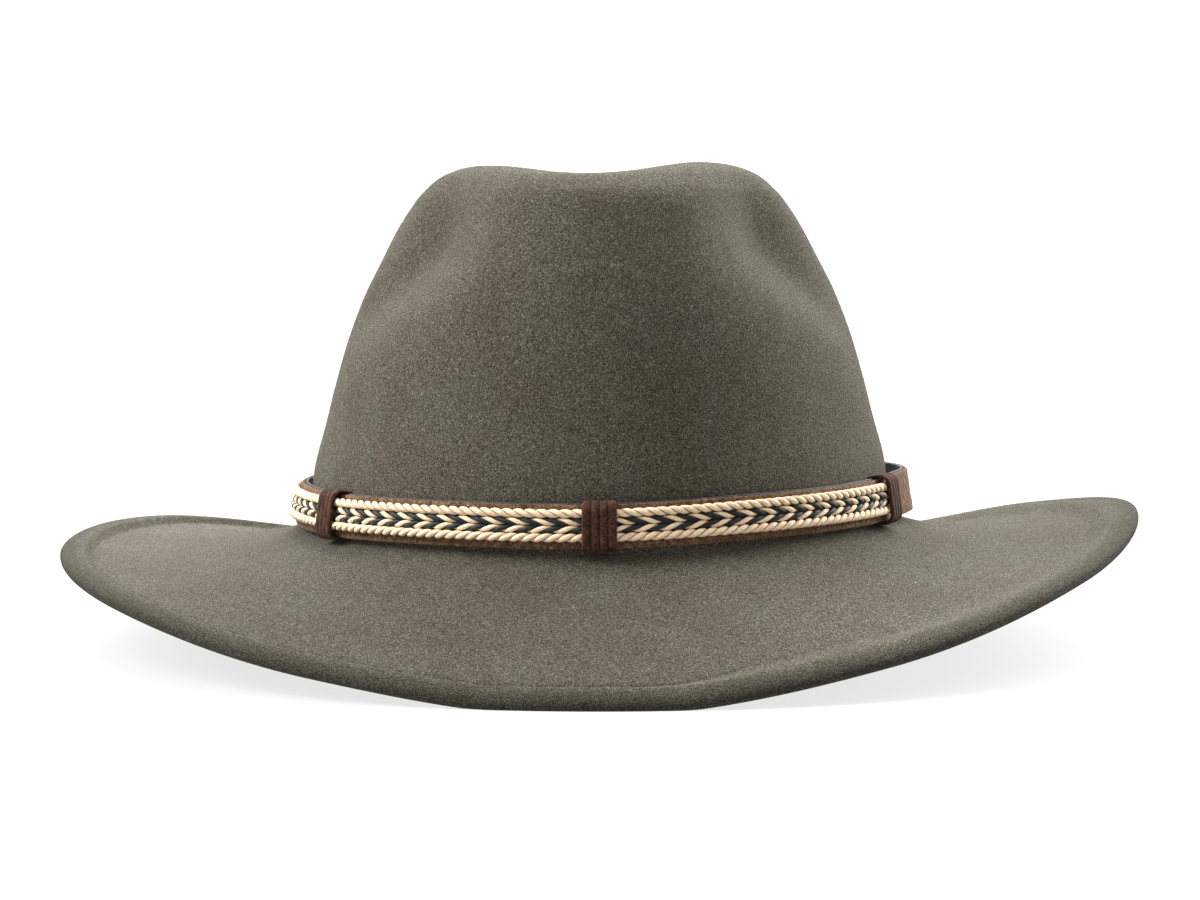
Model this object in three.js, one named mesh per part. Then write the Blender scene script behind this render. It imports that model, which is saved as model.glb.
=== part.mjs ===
// A wide-brimmed felt hat at rest: a creased crown and a curled brim in one piece of felt, with a band of
// suede strap, twisted cords and lace wraps round the crown's foot. Millimetres, +Z up. The hat rests on
// z = 0 on the front and back of its brim. The wearer faces -Y, so +X is to the right of someone facing
// the hat.

import * as THREE from "three";

// Driving dimensions of the felt
const feltThickness = 2.3;
const crownWidth = 172.2; // across the crown's foot, to the middle of the felt
const crownLength = 208.6; // front to back at the crown's foot, to the middle of the felt
const crownHeight = 100.7; // from the foot at the sides to the rim of the crown's top
const topSlope = 0.13; // how fast the crown's top falls towards the back
const topTilt = 0.0065; // how fast the crown's top rises to the right
const brimWidth = 320; // edge to edge, left to right
const brimLength = 343; // edge to edge, front to back
const footHeight = 35; // from the surface below to the crown's foot at the front
const edgeLift = 36; // how far the brim's highest edge stands above its lowest, before it is pressed level
const brimSag = 5; // how far the brim hangs below a straight line from foot to edge
const restPress = 0.45; // how much of the edge's rounding is flattened where it rests
const restLevel = 1.4; // how much of the edge's curve is pressed level where it rests
const creaseDepth = 23; // of the hollow along the crown's top
const pinchDepth = 10.9; // of the dent on each front side
const weltWidth = 9; // of the felt folded over along the brim's edge
const weltRise = 1.7; // of the welt above the brim's top
const weltDrop = 0.6; // of the welt below the brim's underside

// Driving dimensions of the band
const strapHeight = 12.7;
const strapSeat = 1.2; // from the brim's top to the strap's lower edge
const facingThickness = 1;
const backingThickness = 0.9;
const outerCordDiameter = 2.4;
const innerCordDiameter = 1.95;
const cordSpacing = 0.2; // between one cord and the next
const laceThickness = 1;
const laceBack = 0.6; // of the lace pressed behind the strap
const laceWidth = 2.35; // of one turn of lace
const laceTurns = 4;
const clearance = 0.25; // between pieces that lie on each other

// How finely the round shapes are divided
const roundSteps = 64;
const cordSides = 8;
const lacePoints = 3; // for each turn of lace

// Half profile of the crown from its foot to near its middle. Rise is a share of the crown's height, width
// and length are shares of the foot's, and shift moves a section along Y by a share of half the crown's
// length.
const CROWN_SECTIONS = [
  { rise: 0.0, width: 1.0, length: 1.0, shift: 0.0 },
  { rise: 0.09, width: 0.981, length: 0.99, shift: 0.0 },
  { rise: 0.19, width: 0.966, length: 0.98, shift: 0.0 },
  { rise: 0.3, width: 0.931, length: 0.956, shift: -0.002 },
  { rise: 0.42, width: 0.897, length: 0.93, shift: -0.005 },
  { rise: 0.55, width: 0.857, length: 0.9, shift: -0.008 },
  { rise: 0.67, width: 0.803, length: 0.865, shift: -0.012 },
  { rise: 0.77, width: 0.743, length: 0.825, shift: -0.016 },
  { rise: 0.864, width: 0.686, length: 0.776, shift: -0.02 },
  { rise: 0.929, width: 0.638, length: 0.732, shift: -0.025 },
  { rise: 0.972, width: 0.599, length: 0.677, shift: -0.03 },
  { rise: 1.026, width: 0.528, length: 0.594, shift: -0.03 },
  { rise: 1.074, width: 0.399, length: 0.476, shift: -0.03 },
  { rise: 1.091, width: 0.237, length: 0.258, shift: -0.03 },
];
const APEX = { rise: 1.1, shift: -0.03 };

// Sections of the top's hollow from front to back. Along is a share of half the crown's length, and depth is
// a share of the hollow's greatest depth. Width, and side for the shift of its middle, are shares of the
// crown's width.
const CREASE_SECTIONS = [
  { along: -0.85, depth: 0.07, width: 0.131, side: -0.004 },
  { along: -0.68, depth: 0.14, width: 0.126, side: -0.006 },
  { along: -0.51, depth: 0.45, width: 0.131, side: -0.006 },
  { along: -0.34, depth: 0.8, width: 0.134, side: -0.005 },
  { along: -0.17, depth: 0.985, width: 0.147, side: -0.002 },
  { along: 0.0, depth: 1.0, width: 0.165, side: 0.0 },
  { along: 0.17, depth: 0.96, width: 0.17, side: 0.0 },
  { along: 0.34, depth: 0.8, width: 0.165, side: 0.0 },
  { along: 0.51, depth: 0.42, width: 0.15, side: 0.0 },
  { along: 0.68, depth: 0.08, width: 0.13, side: 0.0 },
  { along: 0.85, depth: 0.0, width: 0.12, side: 0.0 },
];

// The dent on each front side of the crown. It is deepest at angle and rise. It spreads front and rear
// degrees to its sides, and reach up and down. Below straight it leans backwards, lean degrees for the
// crown's whole height, after a bend.
const PINCH = {
  angle: 58.7,
  rise: 0.8,
  front: 23.4,
  rear: 14.6,
  reach: 0.19,
  lean: 63,
  straight: 0.755,
  bend: 0.05,
};

// The brim's edge as a share of its lift and the crown's foot as a share of its height at the front, every
// 30 degrees from the front, turning to the right.
const TURN = [
  { edge: 0.0, foot: 1.0 },
  { edge: 0.29, foot: 1.035 },
  { edge: 0.73, foot: 1.023 },
  { edge: 1.0, foot: 0.977 },
  { edge: 0.78, foot: 0.871 },
  { edge: 0.3, foot: 0.731 },
  { edge: -0.01, foot: 0.655 },
  { edge: 0.305, foot: 0.7 },
  { edge: 0.655, foot: 0.81 },
  { edge: 0.685, foot: 0.886 },
  { edge: 0.52, foot: 0.931 },
  { edge: 0.207, foot: 0.983 },
];

// The brim's sag as a share of brimSag, in the middle of each side.
const SAG = { front: 0, right: 1.27, back: 0.92, left: 0.76 };

// Rows of the brim between its foot and its edge, as shares of its width.
const BRIM_ROWS = [0.12, 0.32, 0.54, 0.74];

// The strap runs from its under end round the back, left and front to the right, then over its own end as a
// tab. Angles are from the front, to the right where positive.
const STRAP = { underAngle: -225, cordAngle: -222, wrapAngle: 70, tabAngle: 151 };
const TAB = { riseAngle: 77, standAngle: 88, overAngle: 125 };
const tabStandoff = 4.2; // from the crown to the tab at the crown's right side
const WRAPS = [
  { name: "wrap_left", angle: -58.5 },
  { name: "wrap_centre", angle: 0 },
  { name: "wrap_right", angle: 68 },
];

// Sizes worked out from these
const DEGREE = Math.PI / 180;
const halfFelt = feltThickness / 2;
const rollRadius = (feltThickness + weltRise + weltDrop) / 2;
const rollCentre = (weltRise - weltDrop) / 2; // of the edge's rounding above the middle of the felt
const edgeHalfWidth = brimWidth / 2 - rollRadius;
const edgeHalfLength = brimLength / 2 - rollRadius;
const sideFoot = (footHeight * (TURN[3].foot + TURN[9].foot)) / 2;
const strapFoot = halfFelt + strapSeat;
const strapStandoff = laceBack + 2 * clearance;
const backingOut = strapStandoff;
const facingOut = backingOut + backingThickness + clearance;
const cordsOut = facingOut + facingThickness + clearance;
const wrapFrontOut = cordsOut + outerCordDiameter + clearance;
const cordStack = 2 * outerCordDiameter + 2 * innerCordDiameter + 3 * cordSpacing;

// A smooth value between b and c, where g runs from 0 to 1.
function smooth(a, b, c, d, g) {
  const linear = (c - a) * g;
  const square = (2 * a - 5 * b + 4 * c - d) * g * g;
  const cube = (3 * b - a - 3 * c + d) * g * g * g;
  return b + (linear + square + cube) / 2;
}

// A column of a table at a row between 0 and its last, whole or not.
function tableValue(table, column, row) {
  const last = table.length - 1;
  const low = Math.min(Math.max(Math.floor(row), 0), last - 1);
  const pick = (i) => table[Math.min(Math.max(i, 0), last)][column];
  return smooth(pick(low - 1), pick(low), pick(low + 1), pick(low + 2), row - low);
}

// A column of the table that goes once round the hat.
function turnValue(column, phi) {
  const count = TURN.length;
  const turn = phi / (2 * Math.PI);
  const row = (turn - Math.floor(turn)) * count;
  const low = Math.floor(row);
  const pick = (i) => TURN[(i + count) % count][column];
  return smooth(pick(low - 1), pick(low), pick(low + 1), pick(low + 2), row - low);
}

function sagAt(phi) {
  const along = Math.cos(phi);
  const across = Math.sin(phi);
  const nearY = along > 0 ? SAG.front : SAG.back;
  const nearX = across > 0 ? SAG.right : SAG.left;
  return brimSag * (along * along * nearY + across * across * nearX);
}

function rimHeight(x, y) {
  return sideFoot + crownHeight - topSlope * y + topTilt * x;
}

// Depth of the hollow in the crown's top below a plan position.
function creaseAt(x, y) {
  const first = CREASE_SECTIONS[0].along;
  const step = CREASE_SECTIONS[1].along - first;
  const row = (y / (crownLength / 2) - first) / step;
  if (row <= 0 || row >= CREASE_SECTIONS.length - 1) return 0;
  const width = tableValue(CREASE_SECTIONS, "width", row) * crownWidth;
  const across = x - tableValue(CREASE_SECTIONS, "side", row) * crownWidth;
  return creaseDepth * tableValue(CREASE_SECTIONS, "depth", row) * Math.exp(-((across / width) ** 2));
}

// How far a pinch moves the crown's side inwards.
function pinchAt(rise, phi) {
  const below = PINCH.straight - rise;
  const leaning = (below + Math.hypot(below, PINCH.bend)) / 2;
  const fromFront = Math.abs(Math.atan2(Math.sin(phi), Math.cos(phi))) / DEGREE;
  const past = fromFront - PINCH.angle - PINCH.lean * leaning;
  const around = past / (past < 0 ? PINCH.front : PINCH.rear);
  const up = (rise - PINCH.rise) / PINCH.reach;
  return pinchDepth * Math.exp(-around * around - up * up);
}

// A point in the middle of the crown's felt. Row counts the sections from the foot, whole or not.
function crownMiddle(row, phi) {
  const rise = tableValue(CROWN_SECTIONS, "rise", row);
  const pinch = pinchAt(rise, phi);
  const halfWidth = (tableValue(CROWN_SECTIONS, "width", row) * crownWidth) / 2 - pinch;
  const halfLength = (tableValue(CROWN_SECTIONS, "length", row) * crownLength) / 2 - pinch;
  const x = halfWidth * Math.sin(phi);
  const y = (tableValue(CROWN_SECTIONS, "shift", row) * crownLength) / 2 - halfLength * Math.cos(phi);
  const foot = turnValue("foot", phi) * footHeight;
  const share = Math.min(rise, 1);
  const z = foot * (1 - share) + rimHeight(x, y) * share + Math.max(rise - 1, 0) * crownHeight;
  return new THREE.Vector3(x, y, z - creaseAt(x, y));
}

function crownApex() {
  const y = (APEX.shift * crownLength) / 2;
  return new THREE.Vector3(0, y, rimHeight(0, y) + (APEX.rise - 1) * crownHeight - creaseAt(0, y));
}

// A point in the middle of the brim's felt. Share runs from 0 at the foot to 1 at the edge's rounding.
function brimMiddle(share, phi) {
  const halfWidth = THREE.MathUtils.lerp(crownWidth / 2, edgeHalfWidth, share);
  const halfLength = THREE.MathUtils.lerp(crownLength / 2, edgeHalfLength, share);
  const foot = turnValue("foot", phi) * footHeight;
  const lift = Math.max(turnValue("edge", phi) * edgeLift - restLevel, 0);
  const edge = rollRadius - rollCentre - restPress + lift;
  const sag = sagAt(phi) * 4 * share * (1 - share);
  const z = THREE.MathUtils.lerp(foot, edge, share) - sag;
  return new THREE.Vector3(halfWidth * Math.sin(phi), -halfLength * Math.cos(phi), z);
}

// The direction out of a surface given by a row and an angle, to its upper or outer side.
function surfaceNormal(surface, row, phi) {
  const tiny = 1e-3;
  const along = surface(row + tiny, phi).sub(surface(row - tiny, phi));
  const around = surface(row, phi + tiny).sub(surface(row, phi - tiny));
  return around.cross(along).normalize();
}

function crownOut(row, phi) {
  return surfaceNormal(crownMiddle, row, phi);
}

function brimUp(share, phi) {
  return surfaceNormal(brimMiddle, share, phi).negate();
}

// The felt's outer or inner corner at the crown's foot.
function footCorner(side, phi) {
  const wall = crownOut(0.01, phi);
  const brim = brimUp(0.01, phi);
  const mitre = wall.clone().add(brim).divideScalar(1 + wall.dot(brim));
  return brimMiddle(0, phi).addScaledVector(mitre, side * halfFelt);
}

// A point at a distance in from the edge's rounding and a height above the middle of the felt.
function weltPoint(inwards, height, phi) {
  const span = brimMiddle(1, phi).distanceTo(brimMiddle(0, phi));
  const share = 1 - inwards / span;
  return brimMiddle(share, phi).addScaledVector(brimUp(share, phi), height);
}

// A point on the edge's rounding, at an angle above the way outwards.
function edgePoint(angle, phi) {
  const up = brimUp(1, phi);
  const outwards = brimMiddle(1, phi).sub(brimMiddle(0.97, phi));
  outwards.addScaledVector(up, -outwards.dot(up)).normalize();
  const centre = brimMiddle(1, phi).addScaledVector(up, rollCentre);
  centre.addScaledVector(outwards, rollRadius * Math.cos(angle));
  return centre.addScaledVector(up, rollRadius * Math.sin(angle));
}

// Triangles between one row of points and the next. Closed rows join their last point to their first.
function skinRows(triangles, rows, closed) {
  const count = rows[0].length;
  const spans = closed ? count : count - 1;
  for (let i = 0; i + 1 < rows.length; i += 1) {
    for (let j = 0; j < spans; j += 1) {
      const k = (j + 1) % count;
      triangles.push(rows[i][j], rows[i + 1][j], rows[i + 1][k]);
      triangles.push(rows[i][j], rows[i + 1][k], rows[i][k]);
    }
  }
}

// Triangles from a point to a closed row round it.
function skinFan(triangles, tip, row, outwards) {
  row.forEach((point, j) => {
    const next = row[(j + 1) % row.length];
    if (outwards) triangles.push(tip, point, next);
    else triangles.push(tip, next, point);
  });
}

function geometryOf(triangles) {
  const geometry = new THREE.BufferGeometry().setFromPoints(triangles);
  geometry.computeVertexNormals();
  return geometry;
}

function azimuths() {
  return Array.from({ length: roundSteps }, (_, j) => (j * 2 * Math.PI) / roundSteps);
}

// The felt as one skin: down the crown's outside, over the brim, round its edge and back up inside.
function feltBody() {
  const turn = azimuths();
  const ring = (point) => turn.map((phi) => point(phi));
  const crownRing = (row, side) =>
    ring((phi) => crownMiddle(row, phi).addScaledVector(crownOut(row, phi), side * halfFelt));
  const brimRing = (share, side) =>
    ring((phi) => brimMiddle(share, phi).addScaledVector(brimUp(share, phi), side * halfFelt));
  const crownRows = CROWN_SECTIONS.map((_, i) => i).slice(1);
  const weltTop = rollCentre + rollRadius;
  const weltBottom = rollCentre - rollRadius;
  const groove = feltThickness / 4;
  const rings = [
    ...crownRows.toReversed().map((row) => crownRing(row, 1)),
    ring((phi) => footCorner(1, phi)),
    ...BRIM_ROWS.map((share) => brimRing(share, 1)),
    ring((phi) => weltPoint(weltWidth, halfFelt, phi)),
    ring((phi) => weltPoint(weltWidth - groove, halfFelt - groove / 2, phi)),
    ring((phi) => weltPoint(weltWidth - 2 * groove, weltTop - groove / 2, phi)),
    ring((phi) => weltPoint(weltWidth / 2, weltTop, phi)),
    ...[90, 45, 0, -30, -60, -90].map((angle) => ring((phi) => edgePoint(angle * DEGREE, phi))),
    ring((phi) => weltPoint(weltWidth / 3, weltBottom, phi)),
    ring((phi) => weltPoint(weltWidth, -halfFelt, phi)),
    ...BRIM_ROWS.toReversed().map((share) => brimRing(share, -1)),
    ring((phi) => footCorner(-1, phi)),
    ...crownRows.map((row) => crownRing(row, -1)),
  ];
  for (const point of rings.flat()) point.z = Math.max(point.z, 0);
  const up = new THREE.Vector3(0, 0, halfFelt);
  const triangles = [];
  skinFan(triangles, crownApex().add(up), rings[0], true);
  skinRows(triangles, rings, true);
  skinFan(triangles, crownApex().sub(up), rings.at(-1), false);
  return geometryOf(triangles);
}

// A point of the band: how far round the crown, out from its felt and up from the strap's lower edge.
function bandPoint(angle, out, up) {
  const phi = angle * DEGREE;
  const lastStraight = 2;
  const slant = tableValue(CROWN_SECTIONS, "rise", lastStraight) * crownHeight;
  const row = (height) => (height / slant) * lastStraight;
  const low = crownMiddle(row(strapFoot), phi);
  const high = crownMiddle(row(strapFoot + strapHeight), phi);
  const normal = crownOut(row(strapFoot + strapHeight / 2), phi);
  const upwards = high.sub(low).normalize();
  return low.addScaledVector(upwards, up).addScaledVector(normal, halfFelt + out);
}

// How much farther out than elsewhere the strap stands: nothing up to the last wrap, then the tab's rise.
function tabOffset(angle) {
  const standing = tabStandoff - strapStandoff;
  const overCords = wrapFrontOut - strapStandoff;
  const { smoothstep } = THREE.MathUtils;
  const first = smoothstep(angle, TAB.riseAngle, TAB.standAngle) * standing;
  return first + smoothstep(angle, TAB.standAngle, TAB.overAngle) * (overCords - standing);
}

// Angles from one to another in even steps no longer than the felt's.
function anglesBetween(start, end) {
  const count = Math.ceil((Math.abs(end - start) * roundSteps) / 360);
  return Array.from({ length: count + 1 }, (_, i) => start + ((end - start) * i) / count);
}

// One layer of the strap, from a distance out of the crown to its thickness farther.
function strapLayer(out, thickness) {
  const sections = anglesBetween(STRAP.underAngle, STRAP.tabAngle).map((angle) => {
    const near = out + tabOffset(angle);
    return [
      bandPoint(angle, near, 0),
      bandPoint(angle, near + thickness, 0),
      bandPoint(angle, near + thickness, strapHeight),
      bandPoint(angle, near, strapHeight),
    ];
  });
  return closedSweep(sections);
}

// A solid through sections of as many points each, with flat ends.
function closedSweep(sections) {
  const triangles = [];
  skinRows(triangles, sections, true);
  const first = sections[0];
  const last = sections.at(-1);
  for (let i = 1; i + 1 < first.length; i += 1) {
    triangles.push(first[0], first[i], first[i + 1]);
    triangles.push(last[0], last[i + 1], last[i]);
  }
  return geometryOf(triangles);
}

// A cord along the strap's face, its middle at a height above the strap's lower edge.
function cordGeometry(diameter, height) {
  const angles = anglesBetween(STRAP.cordAngle, STRAP.wrapAngle);
  const points = angles.map((angle) => bandPoint(angle, cordsOut + diameter / 2, height));
  const path = new THREE.CatmullRomCurve3(points);
  const sides = Array.from({ length: cordSides }, (_, i) => {
    const turn = (i * 2 * Math.PI) / cordSides;
    return new THREE.Vector2(Math.cos(turn), Math.sin(turn)).multiplyScalar(diameter / 2);
  });
  const options = { steps: angles.length - 1, extrudePath: path, bevelEnabled: false };
  return new THREE.ExtrudeGeometry(new THREE.Shape(sides), options);
}

// The eight corners of a rectangle with cut corners, across the band.
function bindingSection(angle, near, far, low, high, cut) {
  const corners = [
    [near + cut, low],
    [far - cut, low],
    [far, low + cut],
    [far, high - cut],
    [far - cut, high],
    [near + cut, high],
    [near, high - cut],
    [near, low + cut],
  ];
  return corners.map(([out, up]) => bandPoint(angle, out, up));
}

// Turns of lace bound round the strap and its cords, with a groove between one turn and the next.
function wrapGeometry(middle) {
  const radius = bandPoint(middle, facingOut, 0).distanceTo(bandPoint(middle + 1, facingOut, 0)) / DEGREE;
  const halfSpan = (laceTurns * laceWidth) / 2 / radius / DEGREE;
  const count = laceTurns * lacePoints;
  const angles = Array.from({ length: count + 1 }, (_, i) => middle - halfSpan + (2 * halfSpan * i) / count);
  const slack = clearance / 10;
  const outer = angles.map((angle, i) => {
    const groove = i % lacePoints === 0 ? laceThickness / 3 : 0;
    const front = wrapFrontOut + laceThickness - groove;
    const edge = clearance + laceBack - groove / 2;
    return bindingSection(angle, clearance, front, -edge, strapHeight + edge, laceThickness / 2);
  });
  const inner = [angles[0], angles.at(-1)].map((angle) => {
    const near = clearance + laceBack;
    return bindingSection(angle, near, wrapFrontOut, -clearance, strapHeight + clearance, slack);
  });
  const triangles = [];
  skinRows(triangles, outer, true);
  skinRows(triangles, [outer.at(-1), inner[1]], true);
  skinRows(triangles, inner.toReversed(), true);
  skinRows(triangles, [inner[0], outer[0]], true);
  return geometryOf(triangles);
}

// Materials by name: colour, and roughness of the surface
const FINISHES = {
  felt: { color: 0x6b665a, roughness: 0.95 },
  facing: { color: 0x96794f, roughness: 0.9 },
  backing: { color: 0x2f2d2b, roughness: 0.9 },
  creamCord: { color: 0xe3cda8, roughness: 0.75 },
  braid: { color: 0x8a7d68, roughness: 0.75 },
  lace: { color: 0x5a3e2e, roughness: 0.9 },
};

const hat = new THREE.Group();

function addPiece(name, finish, geometry) {
  const material = new THREE.MeshStandardMaterial({ metalness: 0, ...FINISHES[finish] });
  const mesh = new THREE.Mesh(geometry, material);
  mesh.name = name;
  hat.add(mesh);
}

// The cords stacked up the strap's face, with their middles above its lower edge.
function addCords() {
  const CORDS = [
    { name: "cord_bottom", finish: "creamCord", diameter: outerCordDiameter },
    { name: "braid_lower", finish: "braid", diameter: innerCordDiameter },
    { name: "braid_upper", finish: "braid", diameter: innerCordDiameter },
    { name: "cord_top", finish: "creamCord", diameter: outerCordDiameter },
  ];
  let low = (strapHeight - cordStack) / 2;
  for (const { name, finish, diameter } of CORDS) {
    addPiece(name, finish, cordGeometry(diameter, low + diameter / 2));
    low += diameter + cordSpacing;
  }
}

addPiece("felt_body", "felt", feltBody());
addPiece("strap_backing", "backing", strapLayer(backingOut, backingThickness));
addPiece("strap_facing", "facing", strapLayer(facingOut, facingThickness));
addCords();
for (const { name, angle } of WRAPS) addPiece(name, "lace", wrapGeometry(angle));

export default hat;
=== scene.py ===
"""A wide-brimmed felt hat: the looks of its felt, suede band, twisted cords and lace wraps.

Lengths are in millimetres until a mesh is made. The tables and shapes repeat those of the part's source.
"""

import math

import bpy
import bmesh
import numpy as np
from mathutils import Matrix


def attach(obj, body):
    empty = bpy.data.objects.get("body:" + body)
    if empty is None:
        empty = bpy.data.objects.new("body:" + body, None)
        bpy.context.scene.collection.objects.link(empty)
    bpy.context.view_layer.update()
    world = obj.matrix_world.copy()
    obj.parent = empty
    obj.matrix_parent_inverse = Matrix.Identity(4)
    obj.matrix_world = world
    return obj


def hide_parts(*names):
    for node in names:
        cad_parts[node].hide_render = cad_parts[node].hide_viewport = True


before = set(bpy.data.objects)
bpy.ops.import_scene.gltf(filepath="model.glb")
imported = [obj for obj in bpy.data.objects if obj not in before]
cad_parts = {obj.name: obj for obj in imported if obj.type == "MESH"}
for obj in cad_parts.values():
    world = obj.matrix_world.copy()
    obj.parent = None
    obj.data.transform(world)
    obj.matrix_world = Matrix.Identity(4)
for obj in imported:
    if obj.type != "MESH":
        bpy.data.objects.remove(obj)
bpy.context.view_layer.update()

METRES = 0.001

# The step in rows and radians that normals are taken over, and the shortest length with a direction
SMALL_STEP = 1e-3
SHORTEST = 1e-12

# The camera that fits the photograph's outline, with its focal length in the photograph's pixels
CAMERA_DISTANCE = 1850
CAMERA_HEIGHT = 236.5
CAMERA_SIDE = 0.18
CAMERA_PITCH = 5.62
FOCAL_PIXELS = 6253
PHOTO_PIXELS = 1200
SENSOR_WIDTH = 36

# The stage, with the floor's reach and the camera's range in metres
FLOOR_REACH = 14
CLIP_END = 100
WORLD_STRENGTH = 0.6

# Lights: name, the parts to the side, back and up of the way to it, its angle in degrees and its strength
LIGHTS = (
    ("overhead", 0, 0.6, 1, 50, 2.7),
    ("behind", 0, 1, 0.6, 50, 3.3),
    ("left", -1, 0, 0.85, 40, 5.5),
    ("right", 1, 0.8, 0.7, 40, 5.1),
)

# Driving dimensions of the felt
FELT_THICKNESS = 2.3
CROWN_WIDTH = 172.2
CROWN_LENGTH = 208.6
CROWN_HEIGHT = 100.7
TOP_SLOPE = 0.13
TOP_TILT = 0.0065
BRIM_WIDTH = 320
BRIM_LENGTH = 343
FOOT_HEIGHT = 35
EDGE_LIFT = 36
BRIM_SAG = 5
REST_PRESS = 0.45
REST_LEVEL = 1.4
CREASE_DEPTH = 23
PINCH_DEPTH = 10.9
WELT_WIDTH = 9
WELT_RISE = 1.7
WELT_DROP = 0.6

# Driving dimensions of the band. The crown's wall is straight up to the band's row of its table.
BAND_ROW = 2
STRAP_HEIGHT = 12.7
STRAP_SEAT = 1.2
FACING_THICKNESS = 1
BACKING_THICKNESS = 0.9
CORD_ROOM = 2.4
LACE_THICKNESS = 1
LACE_BACK = 0.6
LACE_WIDTH = 2.35
LACE_TURNS = 4
OUTER_RADIUS = 1.28
INNER_RADIUS = 1.08
OUTER_PITCH = 6.8
INNER_PITCH = 7.5
CORD_GAP = -0.02
CORDS_RAISED = 0.3
CLEARANCE = 0.25
STRAP_ANGLES = (-225, 151)
CORD_ANGLES = (-222, 70)
TAB_ANGLES = (77, 88, 125)
TAB_STANDOFF = 4.2
WRAP_ANGLES = {"left": -58.5, "centre": 0, "right": 68}

# The welt's rounded lip, the shoulder behind it and the shallow groove beside that
LIP_WIDTH = 4.4
LIP_TOP_ANGLES = np.linspace(90, 0, 16)
LIP_UNDER_ANGLES = np.linspace(-15, -90, 6)
SHOULDER_WIDTH = 3.2
SHOULDER_WIDTH_BACK = 9
BACK_BLEND = (0.05, 0.45)
GROOVE_WIDTH = 0.8
GROOVE_DEPTH = 0.3
# How far in from the brim's edge the felt's painted shade reaches
EDGE_SHADE_REACH = 9

# Steps between the felt's rings, and the rows of the crown's table that each stretch runs between
TURN_STEPS = 320
CROWN_STRETCHES = ((13.94, 13, 13), (13, 12, 12), (12, 11, 10), (11, 0, 88))
INSIDE_STRIDE = 2
BRIM_STEPS = 39
SHOULDER_STEPS = 9
UNDERSIDE_STEPS = 21
WELT_SHARES = (0.33, 0.66)

# Shares of the way along the brim where directions at its foot and its edge are taken
NEAR_FOOT = 0.01
NEAR_EDGE = 0.97

# Loose fibres on the felt, over the first share of its rings, which is its outside
NAP_COUNT = 48000
NAP_SEED = 7
NAP_OUTSIDE = 2 / 3
NAP_LENGTH = 0.95
NAP_SHORTEST = 0.4
NAP_WIDTH = 0.09
NAP_ROOT = 0.1
NAP_LEAN = (25, 82)

# Meshes of the band
STRAP_STEPS = 760
STRAP_CORNER = 0.4
STRAP_CORNER_SHARE = 0.45
CORNER_CUT = 0.3
FRONT_SHARE = 0.6
STRAP_FACE_STEPS = 12
STRAP_BACK_STRIDE = 3
BACKING_ROUGH = 0.03
FACING_ROUGH = 0.09
CORD_STEPS = 400
PLY_SIDES = 10
PLY_STEPS_A_TURN = 16
PLY_SHARE = 0.56
PLY_FLATTENING = 1.12
LACE_SLACK = 0.06
LACE_WANDER = 0.004
LACE_GAP = 0.1
LACE_NEAR_RADIUS = 0.5
LACE_FAR_RADIUS = 2.7
LACE_CORNER_STEPS = 7
LACE_FIRST_SEED = 20

# A lace's section: shares of its half width across and of its half thickness out
LACE_SECTION = (
    (-1.1, -0.5),
    (-1.1, 0),
    (-0.95, 0.6),
    (-0.8, 0.95),
    (0, 1.08),
    (0.8, 0.95),
    (0.95, 0.6),
    (1.1, 0),
    (1.1, -0.5),
    (0.85, -0.95),
    (0, -1),
    (-0.85, -0.95),
)

# Half profile of the crown from its foot to the middle of its top, as in the part's source. Rises are shares
# of the crown's height, widths and lengths of the foot's, and shift moves a row back by a share of half the
# crown's length.
CROWN_PARTS = ("rise", "width", "length", "shift")
CROWN_ROWS = (
    (0, 1, 1, 0),
    (0.09, 0.981, 0.99, 0),
    (0.19, 0.966, 0.98, 0),
    (0.3, 0.931, 0.956, -0.002),
    (0.42, 0.897, 0.93, -0.005),
    (0.55, 0.857, 0.9, -0.008),
    (0.67, 0.803, 0.865, -0.012),
    (0.77, 0.743, 0.825, -0.016),
    (0.864, 0.686, 0.776, -0.02),
    (0.929, 0.638, 0.732, -0.025),
    (0.972, 0.599, 0.677, -0.03),
    (1.026, 0.528, 0.594, -0.03),
    (1.074, 0.399, 0.476, -0.03),
    (1.091, 0.237, 0.258, -0.03),
    (1.1, 0, 0, -0.03),
)
CROWN = dict(zip(CROWN_PARTS, zip(*CROWN_ROWS)))
CREASE_FIRST = -0.85
CREASE_STEP = 0.17
CREASE = {
    "depth": (0.07, 0.14, 0.45, 0.8, 0.985, 1, 0.96, 0.8, 0.42, 0.08, 0),
    "width": (0.131, 0.126, 0.131, 0.134, 0.147, 0.165, 0.17, 0.165, 0.15, 0.13, 0.12),
    "side": (-0.004, -0.006, -0.006, -0.005, -0.002, 0, 0, 0, 0, 0, 0),
}
PINCH = {
    "angle": 58.7,
    "rise": 0.8,
    "front": 23.4,
    "rear": 14.6,
    "reach": 0.19,
    "lean": 63,
    "straight": 0.755,
    "bend": 0.05,
}
EDGE_HEIGHTS = (0, 0.29, 0.73, 1, 0.78, 0.3, -0.01, 0.305, 0.655, 0.685, 0.52, 0.207)
FOOT_HEIGHTS = (1, 1.035, 1.023, 0.977, 0.871, 0.731, 0.655, 0.7, 0.81, 0.886, 0.931, 0.983)
SAG = {"front": 0, "right": 1.27, "back": 0.92, "left": 0.76}

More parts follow.
